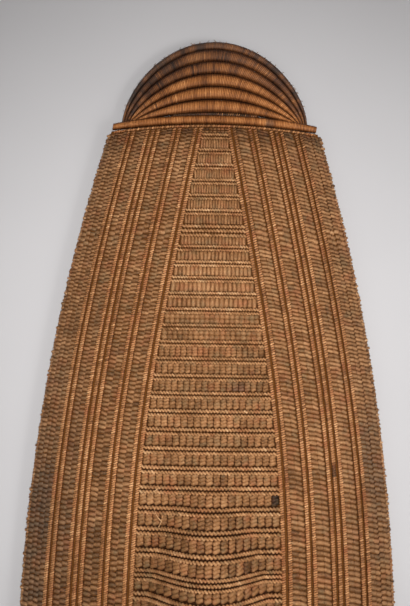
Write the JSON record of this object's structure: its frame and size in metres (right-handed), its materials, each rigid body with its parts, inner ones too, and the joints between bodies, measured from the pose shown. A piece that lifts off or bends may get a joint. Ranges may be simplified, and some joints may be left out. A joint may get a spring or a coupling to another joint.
{
  "type": "woven raffia shield",
  "caption": "Long oval woven shield with an arched face, twisted ribs, a raised hollow boss, fans of wrapped cane at both ends and a hand grip behind.",
  "frame": {"origin": "on the floor under the middle of the shield, which lies on its back with its face up", "axes": "+Z out of the face, +Y along the shield towards its top end, +X to the right seen from above with the top end away"},
  "size_m": [0.393, 1.3988, 0.113],
  "materials": {
    "raffia_weave": "satin, aged brown twined raffia with darker gaps",
    "twisted_cord": "satin, twisted raffia cord, lighter on the crests",
    "wrapped_cane": "satin, split cane wrapped round a core, dark with handling",
    "grip_wood": "satin, smooth with handling"
  },
  "bodies": {
    "root": {"top_bow_1": "wrapped_cane", "top_bow_2": "wrapped_cane", "top_bow_3": "wrapped_cane", "top_bow_4": "wrapped_cane", "top_bow_5": "wrapped_cane", "top_bow_6": "wrapped_cane", "top_bar": "wrapped_cane", "top_binding_cord": "twisted_cord", "top_lacing": "twisted_cord", "bottom_bow_1": "wrapped_cane", "bottom_bow_2": "wrapped_cane", "bottom_bow_3": "wrapped_cane", "bottom_bow_4": "wrapped_cane", "bottom_bow_5": "wrapped_cane", "bottom_bow_6": "wrapped_cane", "bottom_bar": "wrapped_cane", "bottom_binding_cord": "twisted_cord", "bottom_lacing": "twisted_cord", "rib_left_1": "twisted_cord", "rib_left_2": "twisted_cord", "rib_left_3": "twisted_cord", "rib_left_4": "twisted_cord", "rib_left_5": "twisted_cord", "rib_left_6": "twisted_cord", "rib_left_7": "twisted_cord", "rib_left_8": "twisted_cord", "rib_left_9": "twisted_cord", "rib_right_1": "twisted_cord", "rib_right_2": "twisted_cord", "rib_right_3": "twisted_cord", "rib_right_4": "twisted_cord", "rib_right_5": "twisted_cord", "rib_right_6": "twisted_cord", "rib_right_7": "twisted_cord", "rib_right_8": "twisted_cord", "rib_right_9": "twisted_cord", "woven_panel": "raffia_weave", "grip": "grip_wood", "grip_strap_top": "twisted_cord", "grip_strap_bottom": "twisted_cord"}
  },
  "joints": []
}
